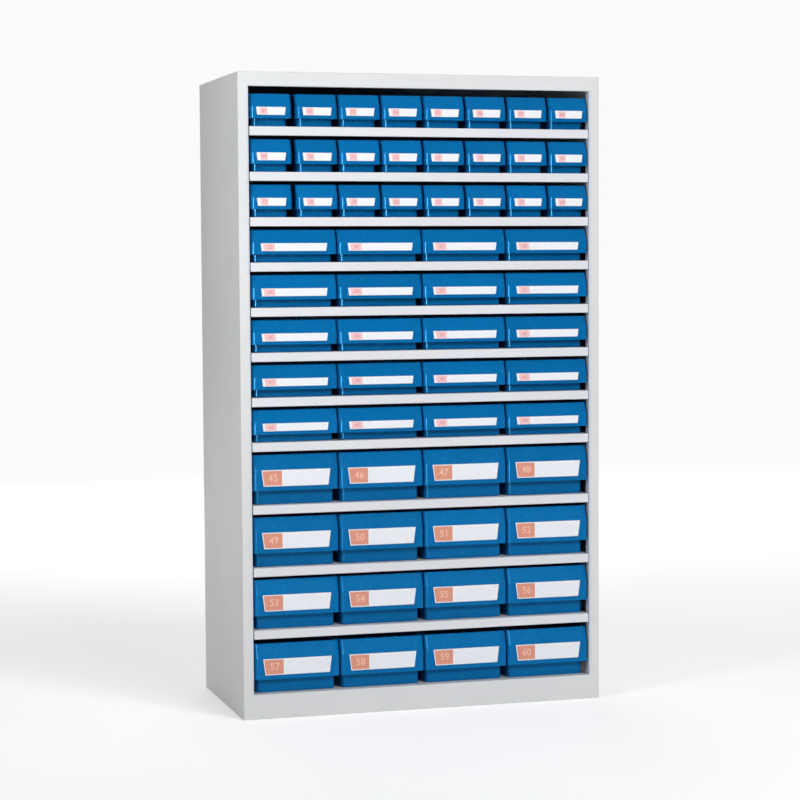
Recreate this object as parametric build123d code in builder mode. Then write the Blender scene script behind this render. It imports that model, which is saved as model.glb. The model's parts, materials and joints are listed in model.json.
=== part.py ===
from build123d import *
import math
import os

# Open-front parts bin cabinet: a folded sheet-steel carcass with clip-in shelves and sixty plastic bins.
# Millimetres. +Z is up, the open front faces -Y, and the origin is on the floor, in the middle.
# The bins come first: the carcass is drawn around them, from the clearances that they need.

# --- bins -----------------------------------------------------------------------------------------
bin_length = 500.0
wide_bin_width = 246.0
low_bin_height = 90.0
tall_bin_height = 140.0
bin_wall = 2.2
tub_draft = 0.6  # degrees, so that empty bins nest
rim_reach = 9.0  # how far the rim and the front cap stand out past the tub, on each side
rim_drop = 8.0  # height of the rim's down-turned edge
cap_depth = 36.0  # the part of the bin, from the front, that has the full width
front_recess = 25.0  # the foot of the front stands this far behind the plate
front_lean = 14.0  # the plate leans back this far above the label
grip_height = 10.0  # finger recess under the plate
corner_cut = 4.5  # chamfer on the plate's upright corners

# --- label frames and cards -----------------------------------------------------------------------
label_rib = 2.0
label_rib_depth = 1.5
card_thickness = 0.6
card_play = 0.3
card_end_angle = 7.5  # degrees by which a card's ends lean outward
small_card_width = 78.5  # along the card's lower edge
low_card_width = 184.5
tall_card_width = 186.5
small_card_height = 22.0
low_card_height = 22.0
tall_card_height = 46.0
low_plate_foot = 22.0  # height of the plate's lower edge above the bin's floor
tall_plate_foot = 40.0
low_card_foot = 9.0  # height of the card's lower edge above the plate's
tall_card_foot = 12.0

# --- how the bins stand ---------------------------------------------------------------------------
bins_across = 4  # wide bins in a row; two small ones take the place of one wide one
small_rows = 3
low_rows = 5
tall_rows = 4
bin_gap = 3.0
end_clearance = 3.5  # from the outer wide bins to the uprights
small_bin_play = 6.0  # a small bin is this much narrower than half of a wide one's share
small_bin_gap = 5.5
small_end_clearance = 1.5  # the small bins stand against the right, all but the first one
first_bin_clearance = 5.0  # the first one stands against the left
bin_setback = 3.0  # the plates stand this far behind the carcass's front
bin_rear_clearance = 19.6
running_gap = 0.3  # under a bin, so that it slides
headroom = 10.0  # over a bin, up to the shelf's lip
top_headroom = 20.0

# --- carcass --------------------------------------------------------------------------------------
sheet = 1.2
bend = 2.4  # outer radius of a folded edge
jamb_width = 25.0
upright_step = 5.0  # the uprights show this far past the jambs
upright_depth = 30.0
slot_pitch = 25.0
slot_width = 4.0
slot_height = 12.0
slot_drop = 10.0  # a slot's middle lies this far below the shelf that it can carry
plinth_height = 70.0
header_height = 40.0
header_return = 15.0
cap_hem = 9.0
tongue_height = 4.0
tongue_play = 1.0
shelf_lip = 25.0
shelf_hem = 12.0
shelf_side_lip = 20.0
shelf_play = 2.5
shelf_setback = 1.5
clip_sheet = 1.5
clip_width = 14.0
clip_tab = 10.0
clip_play = 0.4
clip_below_shelf = 4.0

# --- what follows from them -----------------------------------------------------------------------
wide_pitch = wide_bin_width + bin_gap
small_bin_width = wide_pitch / 2 - small_bin_play
small_pitch = small_bin_width + small_bin_gap
opening_width = bins_across * wide_pitch - bin_gap + 2 * end_clearance
cabinet_width = opening_width + 2 * (upright_step + jamb_width)
cabinet_depth = bin_setback + bin_length + bin_rear_clearance + 2 * sheet
front = -cabinet_depth / 2
back = cabinet_depth / 2
jamb_opening = cabinet_width - 2 * jamb_width
rear_face = back - 2 * sheet  # inner face of the back panel


def slots_up(height):
    """The lowest slot position at or above a height."""
    return slot_pitch * math.ceil(height / slot_pitch)


tall_pitch = slots_up(tall_bin_height + headroom + shelf_lip)
low_pitch = slots_up(low_bin_height + headroom + shelf_lip)
first_shelf = slots_up(plinth_height + tall_bin_height + headroom + shelf_lip)
tall_shelf_tops = [first_shelf + tall_pitch * row for row in range(tall_rows - 1)]
low_start = first_shelf + tall_pitch * (tall_rows - 1)
low_shelf_tops = [low_start + low_pitch * row for row in range(low_rows)]
small_start = low_start + low_pitch * low_rows
small_shelf_tops = [small_start + low_pitch * row for row in range(small_rows)]
opening_top = small_shelf_tops[-1] + low_bin_height + top_headroom
cabinet_height = opening_top + header_height
panel_top = cabinet_height - cap_hem
shelf_tops = tall_shelf_tops + low_shelf_tops + small_shelf_tops
shelf_width = opening_width - 2 * shelf_play
bin_front = front + bin_setback

os.makedirs("parts", exist_ok=True)


def save(piece, name):
    piece.label = name
    export_step(piece, f"parts/{name}.step")


def folded_sheet(outline, thickness, side):
    """Section of a sheet whose outer face follows an open outline, with rounded folds."""
    with BuildSketch() as section:
        with BuildLine():
            FilletPolyline(*outline, radius=bend)
            offset(amount=thickness, side=side)
        make_face()
    return section.sketch


# --- side panels ----------------------------------------------------------------------------------
def side_panel():
    """The left side: skin, front jamb and rear flange in one fold, with flanges at floor and top."""
    skin = -cabinet_width / 2
    jamb_edge = skin + jamb_width
    outline = [(jamb_edge, front), (skin, front), (skin, back), (jamb_edge, back)]
    with BuildPart() as panel:
        with BuildSketch(Plane.XY):
            add(folded_sheet(outline, sheet, Side.RIGHT))
        extrude(amount=panel_top)
        for flange_level in (0, panel_top - sheet):
            with BuildSketch(Plane.XY.offset(flange_level)):
                with Locations((skin + sheet, 0)):
                    flange_length = cabinet_depth - 2 * sheet
                    Rectangle(jamb_width - sheet, flange_length, align=(Align.MIN, Align.CENTER))
            extrude(amount=sheet)
    return panel


left_side_panel = side_panel()
save(left_side_panel.part, "left_side_panel")

with BuildPart() as right_side_panel:
    mirror(left_side_panel.part, about=Plane.YZ)
save(right_side_panel.part, "right_side_panel")

# --- back panel, between the bottom and top flanges and against the rear ones ---------------------
with BuildPart() as back_panel:
    with BuildSketch(Plane.XY.offset(sheet)):
        with Locations((0, rear_face)):
            Rectangle(cabinet_width - 2 * bend, sheet, align=(Align.CENTER, Align.MIN))
    extrude(amount=panel_top - 2 * sheet)
    # a tongue between the flanges, inside the hem of the top cap, so that no slit shows the outside
    with BuildSketch(Plane.XY.offset(panel_top - sheet)):
        with Locations((0, rear_face)):
            Rectangle(jamb_opening - 2 * tongue_play, sheet, align=(Align.CENTER, Align.MIN))
    extrude(amount=sheet + tongue_height)
save(back_panel.part, "back_panel")

# --- top cap: a shallow lid whose hem stands on the side panels -----------------------------------
with BuildPart() as top_cap:
    with BuildSketch(Plane.XY.offset(panel_top)):
        Rectangle(cabinet_width, cabinet_depth)
    extrude(amount=cap_hem)
    fillet(top_cap.edges().filter_by(Axis.Z), bend)
    fillet(top_cap.faces().sort_by(Axis.Z)[-1].edges(), bend)
    with BuildSketch(Plane.XY.offset(panel_top)):
        Rectangle(cabinet_width - 2 * sheet, cabinet_depth - 2 * sheet)
    extrude(amount=cap_hem - sheet, mode=Mode.SUBTRACT)
save(top_cap.part, "top_cap")


# --- rails between the jambs: header at the top, plinth and deck at the bottom --------------------
def upright_spaces(level, height, depth):
    """The two spaces behind a rail's front sheet, beside the opening, where the uprights stand."""
    with BuildPart() as spaces:
        with BuildSketch(Plane.XY.offset(level)):
            with Locations((0, front + sheet + depth / 2)):
                with GridLocations(opening_width + upright_step, 0, 2, 1):
                    Rectangle(upright_step, depth)
        extrude(amount=height)
    return spaces.part


with BuildPart() as header_rail:
    header_outline = [(front + header_return, opening_top), (front, opening_top), (front, panel_top)]
    with BuildSketch(Plane.YZ):
        add(folded_sheet(header_outline, sheet, Side.RIGHT))
    extrude(amount=jamb_opening / 2, both=True)
    add(upright_spaces(opening_top, header_height, header_return), mode=Mode.SUBTRACT)
save(header_rail.part, "header_rail")

with BuildPart() as bottom_deck:
    deck_outline = [
        (front + header_return, 0),
        (front, 0),
        (front, plinth_height),
        (rear_face, plinth_height),
        (rear_face, 0),
    ]
    with BuildSketch(Plane.YZ):
        add(folded_sheet(deck_outline, sheet, Side.RIGHT))
    extrude(amount=jamb_opening / 2, both=True)
    add(upright_spaces(0, plinth_height, cabinet_depth), mode=Mode.SUBTRACT)
save(bottom_deck.part, "bottom_deck")


# --- slotted uprights, which carry the shelves ----------------------------------------------------
front_upright_face = front + sheet
rear_upright_face = rear_face - upright_depth
first_slot = slots_up(plinth_height + shelf_lip)
slot_count = math.floor((panel_top - sheet - first_slot) / slot_pitch)


def upright_pair(face):
    """A left and a right upright whose front flanges lie at the given depth."""
    web = -opening_width / 2
    flange_end = -cabinet_width / 2 + bend
    rear = face + upright_depth
    outline = [(flange_end, face), (web, face), (web, rear), (flange_end, rear)]
    slots_middle = first_slot - slot_drop + slot_pitch * (slot_count - 1) / 2
    with BuildPart() as pair:
        with BuildSketch(Plane.XY.offset(sheet)):
            add(folded_sheet(outline, sheet, Side.LEFT))
        extrude(amount=panel_top - 2 * sheet)
        with BuildSketch(Plane.YZ.offset(web - sheet)):
            with Locations((face + upright_depth / 2, slots_middle)):
                with GridLocations(0, slot_pitch, 1, slot_count):
                    Rectangle(slot_width, slot_height)
        extrude(amount=sheet, mode=Mode.SUBTRACT)
        mirror(about=Plane.YZ)
    return pair


front_uprights = upright_pair(front_upright_face)
save(front_uprights.part, "front_uprights")
rear_uprights = upright_pair(rear_upright_face)
save(rear_uprights.part, "rear_uprights")

# --- shelves --------------------------------------------------------------------------------------
shelf_front = front + shelf_setback
shelf_back = rear_face - shelf_play

with BuildPart() as shelf:
    shelf_outline = [
        (shelf_front + shelf_hem, -shelf_lip),
        (shelf_front, -shelf_lip),
        (shelf_front, 0),
        (shelf_back, 0),
        (shelf_back, -shelf_lip),
        (shelf_back - shelf_hem, -shelf_lip),
    ]
    with BuildSketch(Plane.YZ):
        add(folded_sheet(shelf_outline, sheet, Side.RIGHT))
    extrude(amount=shelf_width / 2, both=True)
    with BuildSketch(Plane.XY.offset(-sheet)):
        with Locations((0, (shelf_front + shelf_back) / 2)):
            with GridLocations(shelf_width - sheet, 0, 2, 1):
                Rectangle(sheet, shelf_back - shelf_front - 2 * sheet)
    extrude(amount=sheet - shelf_side_lip)


def place_shelves(tops, name):
    with BuildPart() as shelves:
        with Locations(*[(0, 0, top) for top in tops]):
            add(shelf.part)
    save(shelves.part, name)


place_shelves(small_shelf_tops, "small_bin_shelves")
place_shelves(low_shelf_tops, "low_bin_shelves")
place_shelves(tall_shelf_tops, "tall_bin_shelves")

# --- clips: a plate on the upright's web, a tab under the shelf's side lip and a hook through a slot 
clip_top = -clip_below_shelf
clip_foot = -shelf_side_lip - clip_sheet

with BuildPart() as clip:
    with BuildSketch(Plane.XZ):
        with Locations((0, clip_foot)):
            Rectangle(clip_sheet, clip_top - clip_foot, align=Align.MIN)
            Rectangle(clip_tab, clip_sheet, align=Align.MIN)
    extrude(amount=clip_width / 2, both=True)
    with BuildSketch(Plane.XZ):
        with Locations((0, -slot_drop)):
            Rectangle(sheet + clip_sheet, slot_height - 2 * clip_play, align=(Align.MAX, Align.CENTER))
    extrude(amount=slot_width / 2 - clip_play, both=True)

clip_depths = [face + upright_depth / 2 for face in (front_upright_face, rear_upright_face)]
with BuildPart() as shelf_clips:
    with Locations(*[(-opening_width / 2, depth, top) for depth in clip_depths for top in shelf_tops]):
        add(clip.part)
    mirror(about=Plane.YZ)
save(shelf_clips.part, "shelf_clips")


# --- bins: drawn with the plate's ribs at y = 0 and the foot at z = 0 -----------------------------
def front_cap(width, height, plate_foot, lean_foot):
    """The full-width front of a bin: a plate that leans back above the label, hollow below."""
    plate = label_rib_depth
    with BuildPart() as cap:
        with BuildSketch(Plane.YZ):
            with BuildLine():
                Polyline(
                    (plate, plate_foot),
                    (plate, lean_foot),
                    (plate + front_lean, height),
                    (cap_depth, height),
                    (cap_depth, plate_foot),
                    close=True,
                )
            make_face()
        extrude(amount=width / 2, both=True)
        side_edges = cap.edges().filter_by(Axis.X, reverse=True)
        plate_corners = side_edges.filter_by_position(Axis.Y, 0, plate + front_lean)
        chamfer(plate_corners.sort_by(Axis.Y)[:4], corner_cut)
        with BuildSketch(Plane.XY.offset(plate_foot)):
            with Locations((0, (plate + cap_depth) / 2)):
                Rectangle(width - 2 * bin_wall, cap_depth - plate - 2 * bin_wall)
        extrude(amount=grip_height, mode=Mode.SUBTRACT)
    return cap.part


def flared(width, height, level, mode=Mode.ADD):
    """Outline of a card: it stands on a level, and its ends lean outward."""
    reach = height * math.tan(math.radians(card_end_angle))
    foot = width / 2
    head = foot + reach
    top = level + height
    Polygon((-foot, level), (foot, level), (head, top), (-head, top), align=None, mode=mode)


def bin_with_card(width, height, plate_foot, card_foot, card_width, card_height):
    """A bin and the card in its label frame, as two solids."""
    plate = label_rib_depth
    tub_front = plate + front_recess
    tub_back = bin_length - rim_reach
    tub_width = width - 2 * rim_reach
    card_level = plate_foot + card_foot
    lean_foot = card_level + card_height + label_rib
    cavity_foot = plate_foot + grip_height + bin_wall
    with BuildPart() as shell:
        # rim, as a frame that is open below
        with BuildSketch(Plane.XY.offset(height - rim_drop)):
            with Locations((0, (cap_depth + bin_length) / 2)):
                Rectangle(width, bin_length - cap_depth)
        extrude(amount=rim_drop)
        with BuildSketch(Plane.XY.offset(height - rim_drop)):
            with Locations((0, (cap_depth + bin_length) / 2 - bin_wall)):
                Rectangle(width - 2 * bin_wall, bin_length - cap_depth)
        extrude(amount=rim_drop - bin_wall, mode=Mode.SUBTRACT)
        add(front_cap(width, height, plate_foot, lean_foot))
        # tub
        with BuildSketch(Plane.XY):
            with Locations((0, (tub_front + tub_back) / 2)):
                Rectangle(tub_width, tub_back - tub_front)
        extrude(amount=height, taper=-tub_draft)
        with BuildSketch(Plane.XY.offset(bin_wall)):
            with Locations((0, (tub_front + tub_back) / 2)):
                Rectangle(tub_width - 2 * bin_wall, tub_back - tub_front - 2 * bin_wall)
        extrude(amount=height, taper=-tub_draft, mode=Mode.SUBTRACT)
        # the space behind the plate
        with BuildSketch(Plane.YZ):
            with BuildLine():
                Polyline(
                    (plate + bin_wall, cavity_foot),
                    (plate + bin_wall, lean_foot),
                    (plate + front_lean + bin_wall, height),
                    (cap_depth - bin_wall, height),
                    (cap_depth - bin_wall, cavity_foot),
                    close=True,
                )
            make_face()
        extrude(amount=width / 2 - bin_wall, both=True, mode=Mode.SUBTRACT)
        # label frame: ribs at the foot and the two ends, open at the top
        with BuildSketch(Plane.XZ.offset(-plate)):
            flared(card_width + 2 * label_rib, card_height + label_rib, card_level - label_rib)
            flared(card_width, card_height, card_level, mode=Mode.SUBTRACT)
        extrude(amount=label_rib_depth)
    with BuildPart() as card:
        with BuildSketch(Plane.XZ.offset(card_play - plate)):
            flared(card_width - 2 * card_play, card_height - card_play, card_level + card_play)
        extrude(amount=card_thickness)
    with BuildPart() as whole:
        add(shell.part)
        add(card.part)
    return whole.part


def place_bins(pattern, spots, name):
    """Copies of a finished bin stand free of each other, so they are moved into place and not joined."""
    copies = [pattern.moved(Location(spot)) for spot in spots]
    save(copies[0] if len(copies) == 1 else Compound(children=copies), name)


def places_across(pitch, count):
    return [location.position.X for location in GridLocations(pitch, 0, count, 1)]


small_bin = bin_with_card(
    small_bin_width, low_bin_height, low_plate_foot, low_card_foot, small_card_width, small_card_height
)
low_bin = bin_with_card(
    wide_bin_width, low_bin_height, low_plate_foot, low_card_foot, low_card_width, low_card_height
)
tall_bin = bin_with_card(
    wide_bin_width, tall_bin_height, tall_plate_foot, tall_card_foot, tall_card_width, tall_card_height
)

# Rows are numbered from the top and places from the left. Small bins stand in pairs, one node to a pair.
first_place = first_bin_clearance + small_bin_width / 2 - opening_width / 2
last_place = opening_width / 2 - small_end_clearance - small_bin_width / 2
other_places = [last_place - small_pitch * place for place in range(2 * bins_across - 1)]
small_places = [first_place, *reversed(other_places)]
wide_places = places_across(wide_pitch, bins_across)
row = 0
for top in reversed(small_shelf_tops):
    row += 1
    for pair in range(bins_across):
        spots = [(x, bin_front, top + running_gap) for x in small_places[2 * pair : 2 * pair + 2]]
        place_bins(small_bin, spots, f"small_bins_row{row}_pair{pair + 1}")
for top in reversed(low_shelf_tops):
    row += 1
    for place, x in enumerate(wide_places, start=1):
        place_bins(low_bin, [(x, bin_front, top + running_gap)], f"low_bin_row{row}_{place}")
for top in reversed([plinth_height] + tall_shelf_tops):
    row += 1
    for place, x in enumerate(wide_places, start=1):
        place_bins(tall_bin, [(x, bin_front, top + running_gap)], f"tall_bin_row{row}_{place}")

print(f"cabinet {cabinet_width:.1f} x {cabinet_depth:.1f} x {cabinet_height:.1f} mm, {row} rows of bins")
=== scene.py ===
import json
import math

import bmesh
import bpy
from mathutils import Matrix, Vector

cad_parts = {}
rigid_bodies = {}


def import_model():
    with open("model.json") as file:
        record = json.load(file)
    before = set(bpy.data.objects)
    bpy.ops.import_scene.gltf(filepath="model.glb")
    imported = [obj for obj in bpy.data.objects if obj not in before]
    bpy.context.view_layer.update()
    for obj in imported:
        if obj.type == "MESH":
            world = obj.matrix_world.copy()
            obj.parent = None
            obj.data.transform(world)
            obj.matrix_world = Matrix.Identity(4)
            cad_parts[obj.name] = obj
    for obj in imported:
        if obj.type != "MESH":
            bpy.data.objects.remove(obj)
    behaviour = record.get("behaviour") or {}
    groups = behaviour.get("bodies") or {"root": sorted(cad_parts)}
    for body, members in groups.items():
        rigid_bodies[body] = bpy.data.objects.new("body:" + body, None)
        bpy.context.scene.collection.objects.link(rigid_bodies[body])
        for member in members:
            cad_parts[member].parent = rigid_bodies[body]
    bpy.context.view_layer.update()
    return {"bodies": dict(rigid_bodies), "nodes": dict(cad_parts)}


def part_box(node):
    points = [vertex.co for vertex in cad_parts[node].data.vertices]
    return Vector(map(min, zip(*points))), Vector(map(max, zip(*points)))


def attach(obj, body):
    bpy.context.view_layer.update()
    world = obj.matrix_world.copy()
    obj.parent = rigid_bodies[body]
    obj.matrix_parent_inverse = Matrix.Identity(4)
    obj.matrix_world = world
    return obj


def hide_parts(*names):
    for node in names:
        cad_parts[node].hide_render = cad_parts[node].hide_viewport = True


# Looks of the parts bin cabinet: powder-coated sheet steel, moulded plastic bins and printed cards.
# Metres, +Z up, the open front faces -Y.

MM = 0.001
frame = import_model()

# --- sizes of the bins, as in the frame ---------------------------------------------------
SMALL_BIN_WIDTH = 118.5 * MM
WALL = 2.2 * MM
DRAFT = math.radians(0.6)
RIM_REACH = 9 * MM
RIM_DROP = 8 * MM
CAP_DEPTH = 36 * MM
RIM_LAP = 6 * MM  # how far the rim's sides run into the cap
FRONT_RECESS = 25 * MM
FRONT_LEAN = 14 * MM
GRIP_HEIGHT = 10 * MM
LABEL_RIB = 2 * MM
LABEL_RIB_DEPTH = 1.5 * MM
CARD_THICKNESS = 0.6 * MM
CARD_PLAY = 0.3 * MM
CARD_END_ANGLE = math.radians(7.5)

# Each kind of bin: the plate's foot, the card's foot above it, the card's size, and the
# coloured block that is printed on the card: its left margin, its width and the margin above
# and below it.
KINDS = {
    "small": {
        "plate_foot": 22 * MM,
        "card_foot": 9 * MM,
        "card_width": 78.5 * MM,
        "card_height": 22 * MM,
        "block_start": 9 * MM,
        "block_width": 20 * MM,
        "block_margin": 1.2 * MM,
    },
    "low": {
        "plate_foot": 22 * MM,
        "card_foot": 9 * MM,
        "card_width": 184.5 * MM,
        "card_height": 22 * MM,
        "block_start": 7 * MM,
        "block_width": 30 * MM,
        "block_margin": 1.2 * MM,
    },
    "tall": {
        "plate_foot": 40 * MM,
        "card_foot": 12 * MM,
        "card_width": 186.5 * MM,
        "card_height": 46 * MM,
        "block_start": 2.5 * MM,
        "block_width": 50 * MM,
        "block_margin": 2.5 * MM,
    },
}

# --- printing -----------------------------------------------------------------------------
DIGIT_HEIGHT = 0.42  # of the card's height
DIGIT_SHARE = 0.7  # of the font's size that a digit fills
DIGIT_STEPS = 3
INK_THICKNESS = 0.06 * MM
PAPER, BLOCK, PRINT = range(3)  # a card's material slots

# --- roundings that only the looks have ---------------------------------------------------
PLATE_CORNER = 10 * MM
TUB_CORNER = 12 * MM
RIM_CORNER = 7 * MM
LEAST_CORNER = 0.6 * MM
FLOOR_FILLET = 4 * MM  # inside the tub
FOOT_FILLET = 2.5 * MM  # outside, under the tub
EDGE_ROUND = 1.0 * MM
EDGE_KNEE = 0.3 * EDGE_ROUND  # where the middle of a rounded edge lies, from both faces
BEND_SPREAD = 1 * MM  # the plate bends over this much above and below the bend's middle
CORNER_STEPS = 5
MOULDED_EDGE = 0.4 * MM
SHEET_EDGE = 0.4 * MM
EDGE_STEPS = 2
EDGE_ANGLE = math.radians(50)  # edges sharper than this are broken
SHARP_ANGLE = math.radians(35)  # edges sharper than this are shaded as edges

# --- camera: the photograph's place and angle ---------------------------------------------
SENSOR_WIDTH = 36.0
LENS = 102.31
CAMERA_PLACE = (-1.8811, -6.4052, 1.2839)
CAMERA_TURN = math.radians(-16.42)
CAMERA_TILT = math.radians(90 - 3.56)
CAMERA_ROLL = math.radians(-0.34)

# --- light --------------------------------------------------------------------------------
WHITE = (1.0, 1.0, 1.0, 1.0)
HORIZON_LIGHT = 0.0
ZENITH_LIGHT = 0.66
BACKDROP_LIGHT = 0.96
KEY_PLACE = (2.6, -4.2, 2.4)
KEY_POWER = 0.55
KEY_ANGLE = math.radians(20)
SIDE_SPREAD = math.radians(95)
# Each area light: its place, what it is aimed at, its width and height, and its power.
AREA_LIGHTS = {
    "front": ((1.3, -4.4, 2.7), (0, 0, 1.9), (2.4, 0.8), 92),
    "side": ((-2.35, -1.65, 2.1), (-0.45, -0.1, 1.6), (0.8, 1.5), 11.5),
    "rear": ((0.6, 5.0, 3.4), (0, 0.3, 0.8), (3.0, 1.5), 70),
    "strip": ((-1.5, -4.0, 1.25), (-0.1, 0, 1.2), (0.3, 1.7), 320),
}

# --- floor --------------------------------------------------------------------------------
FLOOR_REACH = 12
FLOOR_THICKNESS = 0.02
FLOOR_WHITE = (0.88, 0.88, 0.88)
FLOOR_ROUGHNESS = 0.6
NEAR_GLOW = 0.12
FAR_GLOW = 0.40
NEAR_DISTANCE = 1.5  # from the middle of the cabinet
FAR_DISTANCE = 6.0
SHOWN_GLOW = 0.13  # added where the floor is seen directly, so that it is as pale as the backdrop

# --- colours, linear ----------------------------------------------------------------------
COAT_GREY = (0.61, 0.62, 0.63)
SHELF_GREY = (0.63, 0.64, 0.67)
UPRIGHT_GREY = (0.58, 0.62, 0.68)
ZINC_GREY = (0.55, 0.56, 0.58)
BIN_BLUE = (0.0006, 0.118, 0.325)
BIN_GLOSS_TINT = (0.12, 0.55, 1.0, 1.0)
CARD_WHITE = (0.72, 0.74, 0.78)
TALL_BLOCK = (0.62, 0.26, 0.18)
LOW_BLOCK = (0.74, 0.46, 0.47)
INK = (0.50, 0.18, 0.20)
PALE_INK = (0.78, 0.50, 0.41)

# --- materials ----------------------------------------------------------------------------
NOISE_MIDDLE = (0.3, 0.7)  # nearly all of a noise lies between these
CARD_ROUGHNESS = 0.55


def new_material(name):
    material = bpy.data.materials.new(name)
    material.use_nodes = True
    tree = material.node_tree
    return material, tree, tree.nodes["Principled BSDF"]


def noise(tree, scale, detail):
    """A noise in the object's own metres."""
    source = tree.nodes.new("ShaderNodeTexCoord").outputs["Object"]
    node = tree.nodes.new("ShaderNodeTexNoise")
    node.inputs["Scale"].default_value = scale
    node.inputs["Detail"].default_value = detail
    tree.links.new(source, node.inputs["Vector"])
    return node.outputs["Fac"]


def mapped(tree, value, low, high, start=0.0, end=1.0):
    """Maps start..end of a node's value to low..high."""
    node = tree.nodes.new("ShaderNodeMapRange")
    node.inputs["From Min"].default_value = start
    node.inputs["From Max"].default_value = end
    node.inputs["To Min"].default_value = low
    node.inputs["To Max"].default_value = high
    tree.links.new(value, node.inputs["Value"])
    return node.outputs["Result"]


def varied(tree, scale, low, high, detail=2.0):
    """A value that a noise varies from low to high."""
    return mapped(tree, noise(tree, scale, detail), low, high, *NOISE_MIDDLE)


def tinted(tree, colour, factor):
    """The colour times a factor that a node gives."""
    node = tree.nodes.new("ShaderNodeVectorMath")
    node.operation = "SCALE"
    node.inputs[0].default_value = colour
    tree.links.new(factor, node.inputs["Scale"])
    return node.outputs["Vector"]


def bumped(tree, shader, scale, depth):
    """Fine bumps of the given depth in metres."""
    node = tree.nodes.new("ShaderNodeBump")
    node.inputs["Distance"].default_value = depth
    tree.links.new(noise(tree, scale, detail=1.0), node.inputs["Height"])
    tree.links.new(node.outputs["Normal"], shader.inputs["Normal"])


def powder_coat(name, colour):
    """Satin powder coat: fine orange peel, a slight mottle and a gloss that varies a little."""
    material, tree, shader = new_material(name)
    mottle = varied(tree, scale=3.0, low=0.975, high=1.025)
    tree.links.new(tinted(tree, colour, mottle), shader.inputs["Base Color"])
    roughness = varied(tree, scale=40.0, low=0.36, high=0.46)
    tree.links.new(roughness, shader.inputs["Roughness"])
    bumped(tree, shader, scale=650.0, depth=0.00004)
    return material


def bin_plastic(name, colour):
    """Semi-matte moulded plastic: a shade for each bin, faint flow marks and an eroded grain."""
    material, tree, shader = new_material(name)
    own = tree.nodes.new("ShaderNodeObjectInfo").outputs["Random"]
    shade = mapped(tree, own, low=0.94, high=1.06)
    flow = varied(tree, scale=14.0, low=0.95, high=1.05, detail=3.0)
    both = tree.nodes.new("ShaderNodeMath")
    both.operation = "MULTIPLY"
    tree.links.new(shade, both.inputs[0])
    tree.links.new(flow, both.inputs[1])
    tree.links.new(tinted(tree, colour, both.outputs["Value"]), shader.inputs["Base Color"])
    roughness = varied(tree, scale=60.0, low=0.22, high=0.28)
    tree.links.new(roughness, shader.inputs["Roughness"])
    shader.inputs["Specular Tint"].default_value = BIN_GLOSS_TINT
    bumped(tree, shader, scale=1400.0, depth=0.00002)
    return material


def card_paper(name, colour):
    """Printed card: a little unevenness in the tone and a paper tooth."""
    material, tree, shader = new_material(name)
    tone = varied(tree, scale=90.0, low=0.97, high=1.03)
    tree.links.new(tinted(tree, colour, tone), shader.inputs["Base Color"])
    shader.inputs["Roughness"].default_value = CARD_ROUGHNESS
    bumped(tree, shader, scale=2500.0, depth=0.00001)
    return material


def zinc_plate(name, colour):
    """Zinc-plated steel with an uneven, partly dull surface."""
    material, tree, shader = new_material(name)
    shader.inputs["Metallic"].default_value = 1.0
    tone = varied(tree, scale=120.0, low=0.85, high=1.1)
    tree.links.new(tinted(tree, colour, tone), shader.inputs["Base Color"])
    roughness = varied(tree, scale=200.0, low=0.28, high=0.5)
    tree.links.new(roughness, shader.inputs["Roughness"])
    return material


coat = powder_coat("powder_coat", COAT_GREY)
shelf_coat = powder_coat("shelf_coat", SHELF_GREY)
upright_coat = powder_coat("upright_coat", UPRIGHT_GREY)
zinc = zinc_plate("zinc", ZINC_GREY)
blue_plastic = bin_plastic("blue_plastic", BIN_BLUE)
white_card = card_paper("white_card", CARD_WHITE)
tall_block = card_paper("orange_print", TALL_BLOCK)
low_block = card_paper("pink_print", LOW_BLOCK)
ink = card_paper("ink", INK)
pale_ink = card_paper("pale_ink", PALE_INK)

CARD_LOOKS = {
    "small": (white_card, low_block, ink),
    "low": (white_card, low_block, ink),
    "tall": (white_card, tall_block, pale_ink),
}

CARCASS_LOOKS = {
    "left_side_panel": coat,
    "right_side_panel": coat,
    "back_panel": coat,
    "top_cap": coat,
    "header_rail": coat,
    "bottom_deck": coat,
    "front_uprights": upright_coat,
    "rear_uprights": upright_coat,
    "small_bin_shelves": shelf_coat,
    "low_bin_shelves": shelf_coat,
    "tall_bin_shelves": shelf_coat,
    "shelf_clips": zinc,
}


def break_edges(piece, name, width):
    """A small bevel on the piece's sharp edges."""
    modifier = piece.modifiers.new(name, "BEVEL")
    modifier.width = width
    modifier.segments = EDGE_STEPS
    modifier.limit_method = "ANGLE"
    modifier.angle_limit = EDGE_ANGLE
    return modifier


for node_name, look in CARCASS_LOOKS.items():
    node = frame["nodes"][node_name]
    node.data.materials.clear()
    node.data.materials.append(look)
    break_edges(node, "broken_edges", SHEET_EDGE).harden_normals = True


# --- mesh helpers -------------------------------------------------------------------------
def rounded_rectangle(half_width, front, back, radius, level):
    """Points of a rectangle with rounded corners, anticlockwise from above, round x = 0."""
    corners = (
        (half_width - radius, back - radius, 0),
        (radius - half_width, back - radius, 90),
        (radius - half_width, front + radius, 180),
        (half_width - radius, front + radius, 270),
    )
    points = []
    for x, y, start in corners:
        for step in range(CORNER_STEPS + 1):
            angle = math.radians(start + 90 * step / CORNER_STEPS)
            points.append((x + radius * math.cos(angle), y + radius * math.sin(angle), level))
    return points


def lofted(name, loops):
    """A closed solid through loops of equal length, from the lowest to the highest."""
    mesh = bmesh.new()
    rings = [[mesh.verts.new(point) for point in loop] for loop in loops]
    count = len(rings[0])
    for below, above in zip(rings, rings[1:]):
        for i in range(count):
            j = (i + 1) % count
            mesh.faces.new((below[i], below[j], above[j], above[i]))
    mesh.faces.new(list(reversed(rings[0])))
    mesh.faces.new(rings[-1])
    return to_object(name, mesh)


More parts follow.
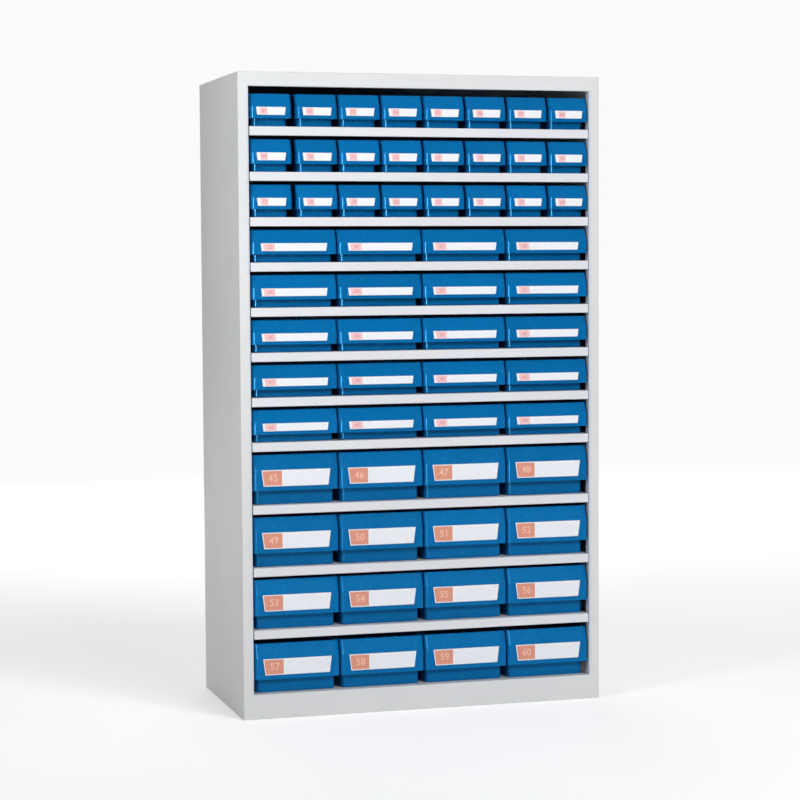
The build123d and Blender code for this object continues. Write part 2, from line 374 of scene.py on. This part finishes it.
def to_object(name, mesh):
    data = bpy.data.meshes.new(name)
    mesh.to_mesh(data)
    mesh.free()
    made = bpy.data.objects.new(name, data)
    bpy.context.scene.collection.objects.link(made)
    return made


def slab(name, outline, front, back):
    """A plate with the given outline in X and Z, between two depths."""
    mesh = bmesh.new()
    near, far = ([mesh.verts.new((x, y, z)) for x, z in outline] for y in (front, back))
    mesh.faces.new(near)
    mesh.faces.new(list(reversed(far)))
    for i in range(len(outline)):
        j = (i + 1) % len(outline)
        mesh.faces.new((near[j], near[i], far[i], far[j]))
    bmesh.ops.recalc_face_normals(mesh, faces=mesh.faces)
    return to_object(name, mesh)


def cuboid(name, low, high):
    mesh = bmesh.new()
    bmesh.ops.create_cube(mesh, size=1.0)
    size = Vector(high) - Vector(low)
    middle = (Vector(high) + Vector(low)) / 2
    mesh.transform(Matrix.Translation(middle) @ Matrix.Diagonal((*size, 1.0)))
    return to_object(name, mesh)


def combine(target, tool, operation):
    """Joins the tool to the target, or cuts it away, and removes the tool."""
    modifier = target.modifiers.new("combine", "BOOLEAN")
    modifier.operation = operation
    modifier.solver = "EXACT"
    modifier.object = tool
    apply_modifiers(target)
    bpy.data.objects.remove(tool)


def apply_modifiers(target):
    graph = bpy.context.evaluated_depsgraph_get()
    graph.update()
    result = bpy.data.meshes.new_from_object(target.evaluated_get(graph))
    target.modifiers.clear()
    target.data = result


# --- the bin ------------------------------------------------------------------------------
def bend_level(kind):
    """Where the plate's upright part ends, just over the card."""
    return kind["plate_foot"] + kind["card_foot"] + kind["card_height"] + LABEL_RIB


def plate_face(kind, height, level):
    """How far behind the ribs' face the plate's outer face lies: upright, then leaning back."""
    bend = bend_level(kind)
    share = max(0.0, (level - bend) / (height - bend))
    return LABEL_RIB_DEPTH + FRONT_LEAN * share


def cap_loops(kind, width, height, levels, inset, back):
    """Loops of the plate and its cap, at levels that each have a further inset of their own."""
    loops = []
    for level, edge in levels:
        radius = max(PLATE_CORNER - inset - edge, LEAST_CORNER)
        face = plate_face(kind, height, level) + inset + edge
        loops.append(rounded_rectangle(width / 2 - inset - edge, face, back, radius, level))
    return loops


def rim_shape(name, width, length, height):
    """The rim: an edge that turns down all round, hollow below."""
    half = width / 2
    front = CAP_DEPTH - RIM_LAP
    rounding = (
        (0, RIM_DROP),
        (0, EDGE_ROUND),
        (EDGE_KNEE, EDGE_KNEE),
        (EDGE_ROUND, 0),
    )
    shape = lofted(
        name,
        [
            rounded_rectangle(half - inset, front, length - inset, RIM_CORNER, height - drop)
            for inset, drop in rounding
        ],
    )
    inner = (half - WALL, front - WALL, length - WALL, RIM_CORNER - WALL)
    groove_levels = (height - RIM_DROP - WALL, height - WALL)
    groove = lofted("groove", [rounded_rectangle(*inner, level) for level in groove_levels])
    combine(shape, groove, "DIFFERENCE")
    return shape


def cap_shape(kind, width, height):
    """The cap: the plate with its rounded edges, open below for the fingers."""
    foot = kind["plate_foot"]
    bend = bend_level(kind)
    levels = [
        (foot, EDGE_ROUND),
        (foot + EDGE_KNEE, EDGE_KNEE),
        (foot + EDGE_ROUND, 0),
        (bend - BEND_SPREAD, 0),
        (bend + BEND_SPREAD, 0),
        (height - EDGE_ROUND, 0),
        (height - EDGE_KNEE, EDGE_KNEE),
        (height, EDGE_ROUND),
    ]
    cap = lofted("cap", cap_loops(kind, width, height, levels, 0, CAP_DEPTH))
    grip_levels = [(foot - WALL, 0), (foot + GRIP_HEIGHT, 0)]
    grip_loops = cap_loops(kind, width, height, grip_levels, WALL, CAP_DEPTH - WALL)
    combine(cap, lofted("grip", grip_loops), "DIFFERENCE")
    return cap


def tub_shape(name, width, length, base, inset, fillet, top):
    """The tub's outside or, with an inset, its inside: drafted walls over a filleted floor."""
    front = LABEL_RIB_DEPTH + FRONT_RECESS
    back = length - RIM_REACH
    half = width / 2 - RIM_REACH

    def loop(level, inward, radius):
        out = level * math.tan(DRAFT) - inward
        return rounded_rectangle(half + out, front - out, back + out, radius, level)

    loops = []
    for step in range(CORNER_STEPS + 1):
        angle = math.pi / 2 * step / CORNER_STEPS
        shrink = fillet * (1 - math.sin(angle))
        level = base + fillet * (1 - math.cos(angle))
        loops.append(loop(level, inset + shrink, max(TUB_CORNER - shrink, LEAST_CORNER)))
    loops.append(loop(top, inset, TUB_CORNER))
    return lofted(name, loops)


def add_label_frame(shape, kind):
    """A rib below the card and one at each end, which lean outward."""
    half = kind["card_width"] / 2
    card_level = kind["plate_foot"] + kind["card_foot"]
    below = card_level - LABEL_RIB
    head = card_level + kind["card_height"]
    reach = kind["card_height"] * math.tan(CARD_END_ANGLE)
    outer = half + LABEL_RIB
    outlines = [[(-outer, below), (outer, below), (outer, card_level), (-outer, card_level)]]
    for side in (-1, 1):
        outlines.append(
            [
                (side * half, below),
                (side * outer, below),
                (side * (outer + reach), head),
                (side * (half + reach), head),
            ]
        )
    for outline in outlines:
        combine(shape, slab("rib", outline, 0, LABEL_RIB_DEPTH + WALL / 2), "UNION")


def bin_shape(name, kind, width, length, height):
    """One moulding: tub, turned-down rim, leaning plate over its recess, and label frame."""
    shape = rim_shape(name, width, length, height)
    combine(shape, cap_shape(kind, width, height), "UNION")
    tub = tub_shape("tub", width, length, 0, 0, FOOT_FILLET, height)
    combine(shape, tub, "UNION")
    hollow = tub_shape("hollow", width, length, WALL, WALL, FLOOR_FILLET, height + WALL)
    combine(shape, hollow, "DIFFERENCE")

    # the hollow runs on behind the plate
    behind_levels = [
        (kind["plate_foot"] + GRIP_HEIGHT + WALL, 0),
        (bend_level(kind), 0),
        (height, 0),
        (height + WALL, 0),
    ]
    behind_loops = cap_loops(kind, width, height, behind_levels, WALL, CAP_DEPTH - WALL)
    combine(shape, lofted("behind", behind_loops), "DIFFERENCE")
    add_label_frame(shape, kind)

    break_edges(shape, "soften", MOULDED_EDGE)
    apply_modifiers(shape)
    shape.data.polygons.foreach_set("use_smooth", [True] * len(shape.data.polygons))
    shape.data.set_sharp_from_angle(angle=SHARP_ANGLE)
    shade = shape.modifiers.new("shade", "WEIGHTED_NORMAL")
    shade.keep_sharp = True
    apply_modifiers(shape)
    shape.data.materials.clear()
    shape.data.materials.append(blue_plastic)
    data = shape.data
    bpy.data.objects.remove(shape)
    return data


# --- the card -----------------------------------------------------------------------------
def digits(number, height, place):
    """A mesh of plain digits that face -Y, a hair thick, with their middle at the place."""
    curve = bpy.data.curves.new("digits", "FONT")
    curve.body = f"{number:02d}"
    curve.align_x = "CENTER"
    curve.align_y = "CENTER"
    curve.size = height / DIGIT_SHARE
    curve.extrude = INK_THICKNESS / 2
    curve.resolution_u = DIGIT_STEPS
    holder = bpy.data.objects.new("digits", curve)
    bpy.context.scene.collection.objects.link(holder)
    graph = bpy.context.evaluated_depsgraph_get()
    mesh = bpy.data.meshes.new_from_object(holder.evaluated_get(graph))
    bpy.data.objects.remove(holder)
    mesh.transform(Matrix.Translation(place) @ Matrix.Rotation(math.pi / 2, 4, "X"))
    return mesh


def card_shape(name, kind, looks, number):
    """A card in its bin's frame: white, with a coloured block and the bin's number on it."""
    half = kind["card_width"] / 2 - CARD_PLAY
    foot = kind["plate_foot"] + kind["card_foot"] + CARD_PLAY
    head = kind["plate_foot"] + kind["card_foot"] + kind["card_height"]
    rear = LABEL_RIB_DEPTH - CARD_PLAY
    face = rear - CARD_THICKNESS
    block_left = -half + kind["block_start"]
    block_right = block_left + kind["block_width"]
    mesh = bmesh.new()

    # the face, in three rows of three fields, of which the middle one is the block
    grid = []
    for z in (foot, foot + kind["block_margin"], head - kind["block_margin"], head):
        reach = (z - foot) * math.tan(CARD_END_ANGLE)
        columns = (-half - reach, block_left - reach, block_right, half + reach)
        grid.append([mesh.verts.new((x, face, z)) for x in columns])
    for row, (below, above) in enumerate(zip(grid, grid[1:])):
        for column in range(len(below) - 1):
            corners = (below[column], below[column + 1], above[column + 1], above[column])
            is_block = row == 1 and column == 1
            mesh.faces.new(corners).material_index = BLOCK if is_block else PAPER

    # the edge and the back
    right = [row[-1] for row in grid[1:-1]]
    left = [row[0] for row in reversed(grid[1:-1])]
    edge = grid[0] + right + list(reversed(grid[-1])) + left
    behind = [mesh.verts.new((corner.co.x, rear, corner.co.z)) for corner in edge]
    for i in range(len(edge)):
        j = (i + 1) % len(edge)
        mesh.faces.new((edge[j], edge[i], behind[i], behind[j]))
    mesh.faces.new(list(reversed(behind)))
    bmesh.ops.recalc_face_normals(mesh, faces=mesh.faces)

    # the number, in the middle of the block
    bare = len(mesh.faces)
    middle = ((block_left + block_right) / 2, face - INK_THICKNESS / 2, (foot + head) / 2)
    mesh.from_mesh(digits(number, DIGIT_HEIGHT * kind["card_height"], Vector(middle)))
    mesh.faces.ensure_lookup_table()
    for printed in mesh.faces[bare:]:
        printed.material_index = PRINT
    data = bpy.data.meshes.new(name)
    mesh.to_mesh(data)
    mesh.free()
    for look in looks:
        data.materials.append(look)
    return data


# --- camera, lights and floor -------------------------------------------------------------
def place_camera():
    camera = bpy.data.cameras.new("camera")
    camera.sensor_width = SENSOR_WIDTH
    camera.lens = LENS
    holder = bpy.data.objects.new("camera", camera)
    bpy.context.scene.collection.objects.link(holder)
    turn = Matrix.Rotation(CAMERA_TURN, 4, "Z")
    tilt = Matrix.Rotation(CAMERA_TILT, 4, "X")
    roll = Matrix.Rotation(CAMERA_ROLL, 4, "Z")
    holder.matrix_world = Matrix.Translation(CAMERA_PLACE) @ turn @ tilt @ roll
    bpy.context.scene.camera = holder


def place_light(light, name, place, aim):
    holder = bpy.data.objects.new(name, light)
    bpy.context.scene.collection.objects.link(holder)
    holder.location = place
    holder.rotation_euler = (Vector(aim) - Vector(place)).to_track_quat("-Z", "Y").to_euler()
    return holder


def area_light(name, place, aim, size, power):
    light = bpy.data.lights.new(name, "AREA")
    light.shape = "RECTANGLE"
    light.size, light.size_y = size
    light.energy = power
    return place_light(light, name, place, aim)


def light_room():
    """A pale room, brighter overhead, before an even white backdrop."""
    world = bpy.data.worlds.new("studio")
    world.use_nodes = True
    tree = world.node_tree
    room = tree.nodes["Background"]
    room.inputs["Color"].default_value = WHITE
    direction = tree.nodes.new("ShaderNodeSeparateXYZ")
    toward = tree.nodes.new("ShaderNodeTexCoord").outputs["Generated"]
    tree.links.new(toward, direction.inputs["Vector"])
    strength = mapped(tree, direction.outputs["Z"], HORIZON_LIGHT, ZENITH_LIGHT)
    tree.links.new(strength, room.inputs["Strength"])
    backdrop = tree.nodes.new("ShaderNodeBackground")
    backdrop.inputs["Color"].default_value = WHITE
    backdrop.inputs["Strength"].default_value = BACKDROP_LIGHT
    seen = tree.nodes.new("ShaderNodeLightPath").outputs["Is Camera Ray"]
    mix = tree.nodes.new("ShaderNodeMixShader")
    tree.links.new(seen, mix.inputs["Fac"])
    tree.links.new(room.outputs["Background"], mix.inputs[1])
    tree.links.new(backdrop.outputs["Background"], mix.inputs[2])
    tree.links.new(mix.outputs["Shader"], tree.nodes["World Output"].inputs["Surface"])
    bpy.context.scene.world = world


def place_lights(glossy_pieces):
    """A soft key light from the right, area lights in front, at the left and behind, and a
    strip that shows only as a gleam on the rounded edges of the glossy pieces."""
    key = bpy.data.lights.new("key", "SUN")
    key.energy = KEY_POWER
    key.angle = KEY_ANGLE
    place_light(key, "key", KEY_PLACE, (0, 0, 0)).visible_glossy = False
    lights = {name: area_light(name, *values) for name, values in AREA_LIGHTS.items()}
    for name in ("front", "side", "rear"):
        lights[name].visible_glossy = False
    lights["side"].data.spread = SIDE_SPREAD
    lights["strip"].visible_diffuse = False
    lights["strip"].light_linking.receiver_collection = glossy_pieces


def lay_floor():
    """A pale floor that glows a little more with distance, so that it meets the backdrop."""
    low = (-FLOOR_REACH, -FLOOR_REACH, -FLOOR_THICKNESS)
    floor = cuboid("floor", low, (FLOOR_REACH, FLOOR_REACH, 0))
    material, tree, shader = new_material("floor")
    tone = varied(tree, scale=1.5, low=0.99, high=1.01)
    tree.links.new(tinted(tree, FLOOR_WHITE, tone), shader.inputs["Base Color"])
    shader.inputs["Roughness"].default_value = FLOOR_ROUGHNESS
    shader.inputs["Emission Color"].default_value = WHITE
    distance = tree.nodes.new("ShaderNodeVectorMath")
    distance.operation = "LENGTH"
    place = tree.nodes.new("ShaderNodeTexCoord").outputs["Object"]
    tree.links.new(place, distance.inputs[0])
    span = (NEAR_DISTANCE, FAR_DISTANCE)
    glow = mapped(tree, distance.outputs["Value"], NEAR_GLOW, FAR_GLOW, *span)
    shown = tree.nodes.new("ShaderNodeMath")
    shown.operation = "MULTIPLY_ADD"
    seen = tree.nodes.new("ShaderNodeLightPath").outputs["Is Camera Ray"]
    tree.links.new(seen, shown.inputs[0])
    shown.inputs[1].default_value = SHOWN_GLOW
    tree.links.new(glow, shown.inputs[2])
    tree.links.new(shown.outputs["Value"], shader.inputs["Emission Strength"])
    floor.data.materials.append(material)


# --- the bins in their places -------------------------------------------------------------
def bins_of(body):
    """(name, x of the middle) of each bin that a body holds. The narrow ones are in pairs."""
    low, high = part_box(body)
    if not body.startswith("small"):
        return [(body, (low.x + high.x) / 2)]
    row, pair = body.removeprefix("small_bins_").split("_pair")
    return [
        (f"small_bin_{row}_{2 * int(pair) - 1}", low.x + SMALL_BIN_WIDTH / 2),
        (f"small_bin_{row}_{2 * int(pair)}", high.x - SMALL_BIN_WIDTH / 2),
    ]


def reading_order(body):
    """From the top row down, and from left to right."""
    low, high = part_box(body)
    return -round(high.z, 3), low.x


def put(name, data, place, body):
    """A piece at its place, riding on a bin's body and standing for its node."""
    piece = bpy.data.objects.new(name, data)
    bpy.context.scene.collection.objects.link(piece)
    piece.location = place
    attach(piece, body)
    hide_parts(body)
    return piece


glossy_pieces = bpy.data.collections.new("glossy_pieces")
mouldings = {}
number = 0
for body in sorted((name for name in frame["bodies"] if name != "cabinet"), key=reading_order):
    low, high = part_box(body)
    kind_name = body.split("_")[0]
    kind = KINDS[kind_name]
    if kind_name not in mouldings:
        width = SMALL_BIN_WIDTH if kind_name == "small" else high.x - low.x
        size = (width, high.y - low.y, high.z - low.z)
        mouldings[kind_name] = bin_shape(f"{kind_name}_bin", kind, *size)
    for bin_name, middle in bins_of(body):
        number += 1
        place = (middle, low.y, low.z)
        moulding_name, card_name = bin_name + "_moulding", bin_name + "_card"
        moulding = put(moulding_name, mouldings[kind_name], place, body)
        glossy_pieces.objects.link(moulding)
        card = card_shape(card_name, kind, CARD_LOOKS[kind_name], number)
        put(card_name, card, place, body)

place_camera()
light_room()
place_lights(glossy_pieces)
lay_floor()
bpy.context.scene.view_settings.view_transform = "Standard"
bpy.context.scene.cycles.use_denoising = True
